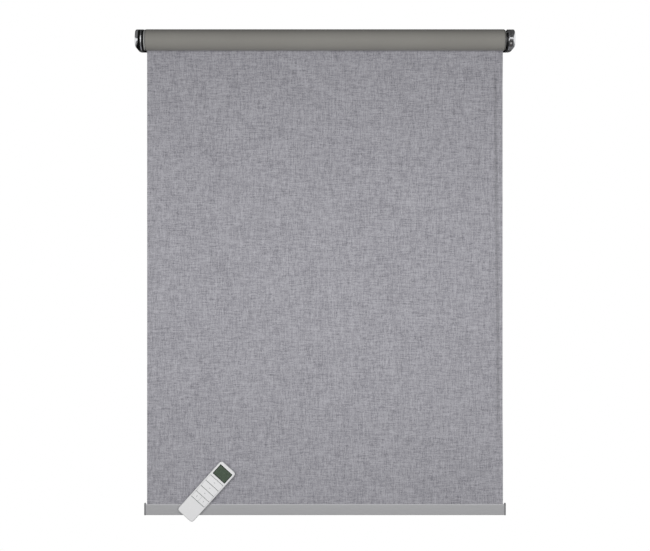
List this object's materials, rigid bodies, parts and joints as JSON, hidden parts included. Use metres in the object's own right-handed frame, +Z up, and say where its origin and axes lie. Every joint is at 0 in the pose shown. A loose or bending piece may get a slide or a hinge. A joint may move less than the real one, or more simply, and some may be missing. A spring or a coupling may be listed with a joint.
{
  "type": "motorised roller blind",
  "caption": "Wall-mounted roller blind with a battery tube motor, hanging sheet, weighted bottom bar and a hand-held remote.",
  "frame": {"origin": "centre of the four wall-screw holes, on the wall plane", "axes": "+X to the right seen from the room, +Y into the wall, +Z up"},
  "size_m": [0.8464, 0.062, 1.1011],
  "materials": {
    "black_plastic": "fine satin moulding",
    "chrome_plating": "bright chrome plating on moulded plastic",
    "tube_aluminium": "extruded, plain",
    "satin_aluminium": "satin anodised",
    "white_plastic": "smooth",
    "blind_fabric": "grey linen weave with a smooth coated reverse",
    "grey_plastic": "fine moulding",
    "dark_plastic": "fine moulding",
    "acetal": "self-lubricating plastic",
    "steel": "bright steel",
    "light_lens": "small coloured lens",
    "circuit_board": "green solder mask",
    "cell_wrap": "shrink-wrapped steel can",
    "remote_white": "semi-gloss white moulding",
    "remote_back": "semi-gloss pale grey moulding",
    "remote_key": "semi-gloss white key caps",
    "screen_window": "clear flat window",
    "display": "liquid crystal panel, off"
  },
  "bodies": {
    "fixed_frame": {"left_bracket": "black_plastic", "right_bracket": "black_plastic", "motor_head": "black_plastic", "motor_casing": "tube_aluminium", "inner_chassis": "black_plastic", "charge_port": "steel", "status_light": "light_lens", "control_board": "circuit_board", "battery_cells": "cell_wrap", "dc_motor": "steel", "gearbox_housing": "acetal", "fabric_drop": "blind_fabric"},
    "left_cover": {"left_cover": "chrome_plating"},
    "right_cover": {"right_cover": "chrome_plating"},
    "programming_button": {"program_button": "grey_plastic"},
    "roller": {"roller_tube": "tube_aluminium", "tube_spline": "white_plastic", "fabric_roll": "blind_fabric", "idler_plug": "grey_plastic", "idler_bush": "acetal", "idler_spring": "steel", "spring_retainer": "grey_plastic", "crown_ring": "grey_plastic", "drive_wheel": "grey_plastic", "drive_screw": "steel", "output_carrier": "steel"},
    "idler_pin": {"idler_pin": "steel"},
    "motor_pinion": {"motor_pinion": "steel"},
    "first_carrier": {"first_carrier": "steel"},
    "bottom_rail": {"bottom_bar": "satin_aluminium", "bar_spline": "white_plastic", "left_bar_cap": "dark_plastic", "right_bar_cap": "dark_plastic"},
    "remote": {"remote_front_shell": "remote_white", "remote_back_shell": "remote_back", "remote_window": "screen_window", "remote_display": "display", "remote_board": "circuit_board", "remote_coin_cell": "steel", "remote_contacts": "steel", "remote_screws": "steel"},
    "remote_door": {"remote_battery_door": "remote_back"},
    "first_planet_1": {"first_planet_1": "acetal"},
    "second_planet_1": {"second_planet_1": "acetal"},
    "first_planet_2": {"first_planet_2": "acetal"},
    "second_planet_2": {"second_planet_2": "acetal"},
    "first_planet_3": {"first_planet_3": "acetal"},
    "second_planet_3": {"second_planet_3": "acetal"},
    "key_up": {"remote_key_up": "remote_key"},
    "key_stop": {"remote_key_stop": "remote_key"},
    "key_down": {"remote_key_down": "remote_key"},
    "key_left": {"remote_key_left": "remote_key"},
    "key_right": {"remote_key_right": "remote_key"}
  },
  "joints": [
    {"name": "roller_spin", "type": "hinge", "parent": "fixed_frame", "child": "roller", "pos_m": [0, -0.038, 0], "axis": [1, 0, 0], "range_deg": [0, 2238]},
    {"name": "bar_lift", "type": "slide", "parent": "fixed_frame", "child": "bottom_rail", "axis": [0, 0, 1], "range_m": [0, 1], "deforming": ["fabric_drop"]},
    {"name": "motor_pinion_spin", "type": "hinge", "parent": "fixed_frame", "child": "motor_pinion", "pos_m": [0, -0.038, 0], "axis": [1, 0, 0], "range_deg": [0, 35808]},
    {"name": "first_carrier_spin", "type": "hinge", "parent": "fixed_frame", "child": "first_carrier", "pos_m": [0, -0.038, 0], "axis": [1, 0, 0], "range_deg": [0, 8952]},
    {"name": "first_planet_1_spin", "type": "hinge", "parent": "first_carrier", "child": "first_planet_1", "pos_m": [0, -0.038, 0.00675], "axis": [1, 0, 0], "range_deg": [-26856, 0]},
    {"name": "second_planet_1_spin", "type": "hinge", "parent": "roller", "child": "second_planet_1", "pos_m": [0, -0.038, 0.00675], "axis": [1, 0, 0], "range_deg": [-6714, 0]},
    {"name": "first_planet_2_spin", "type": "hinge", "parent": "first_carrier", "child": "first_planet_2", "pos_m": [0, -0.04385, -0.00337], "axis": [1, 0, 0], "range_deg": [-26856, 0]},
    {"name": "second_planet_2_spin", "type": "hinge", "parent": "roller", "child": "second_planet_2", "pos_m": [0, -0.04385, -0.00337], "axis": [1, 0, 0], "range_deg": [-6714, 0]},
    {"name": "first_planet_3_spin", "type": "hinge", "parent": "first_carrier", "child": "first_planet_3", "pos_m": [0, -0.03215, -0.00337], "axis": [1, 0, 0], "range_deg": [-26856, 0]},
    {"name": "second_planet_3_spin", "type": "hinge", "parent": "roller", "child": "second_planet_3", "pos_m": [0, -0.03215, -0.00337], "axis": [1, 0, 0], "range_deg": [-6714, 0]},
    {"name": "idler_pin_press", "type": "slide", "parent": "roller", "child": "idler_pin", "axis": [1, 0, 0], "range_m": [0, 0.008], "stiffness_N_per_m": 900, "springref_m": -0.006, "deforming": ["idler_spring"]},
    {"name": "programming_button_press", "type": "slide", "parent": "fixed_frame", "child": "programming_button", "axis": [0, 0.8829, 0.4695], "range_m": [0, 0.001], "stiffness_N_per_m": 300, "springref_m": -0.001},
    {"name": "left_cover_pull", "type": "slide", "parent": "fixed_frame", "child": "left_cover", "axis": [-1, 0, 0], "range_m": [0, 0.025]},
    {"name": "right_cover_pull", "type": "slide", "parent": "fixed_frame", "child": "right_cover", "axis": [1, 0, 0], "range_m": [0, 0.025]},
    {"name": "remote_pick_up", "type": "slide", "parent": "fixed_frame", "child": "remote", "axis": [0, -1, 0], "range_m": [0, 0.05]},
    {"name": "remote_door_slide", "type": "slide", "parent": "remote", "child": "remote_door", "axis": [-0.6691, 0, -0.7431], "range_m": [0, 0.046]},
    {"name": "key_up_press", "type": "slide", "parent": "remote", "child": "key_up", "axis": [0, 1, 0], "range_m": [0, 0.0008], "stiffness_N_per_m": 400, "springref_m": -0.0008},
    {"name": "key_stop_press", "type": "slide", "parent": "remote", "child": "key_stop", "axis": [0, 1, 0], "range_m": [0, 0.0008], "stiffness_N_per_m": 400, "springref_m": -0.0008},
    {"name": "key_down_press", "type": "slide", "parent": "remote", "child": "key_down", "axis": [0, 1, 0], "range_m": [0, 0.0008], "stiffness_N_per_m": 400, "springref_m": -0.0008},
    {"name": "key_left_press", "type": "slide", "parent": "remote", "child": "key_left", "axis": [0, 1, 0], "range_m": [0, 0.0008], "stiffness_N_per_m": 400, "springref_m": -0.0008},
    {"name": "key_right_press", "type": "slide", "parent": "remote", "child": "key_right", "axis": [0, 1, 0], "range_m": [0, 0.0008], "stiffness_N_per_m": 400, "springref_m": -0.0008}
  ],
  "couplings": [
    {"joint": "bar_lift", "follows": "roller_spin", "m_per_rad": 0.025601},
    {"joint": "motor_pinion_spin", "follows": "roller_spin", "ratio": 16},
    {"joint": "first_carrier_spin", "follows": "roller_spin", "ratio": 4},
    {"joint": "first_planet_1_spin", "follows": "roller_spin", "ratio": -12},
    {"joint": "second_planet_1_spin", "follows": "roller_spin", "ratio": -3},
    {"joint": "first_planet_2_spin", "follows": "roller_spin", "ratio": -12},
    {"joint": "second_planet_2_spin", "follows": "roller_spin", "ratio": -3},
    {"joint": "first_planet_3_spin", "follows": "roller_spin", "ratio": -12},
    {"joint": "second_planet_3_spin", "follows": "roller_spin", "ratio": -3}
  ]
}
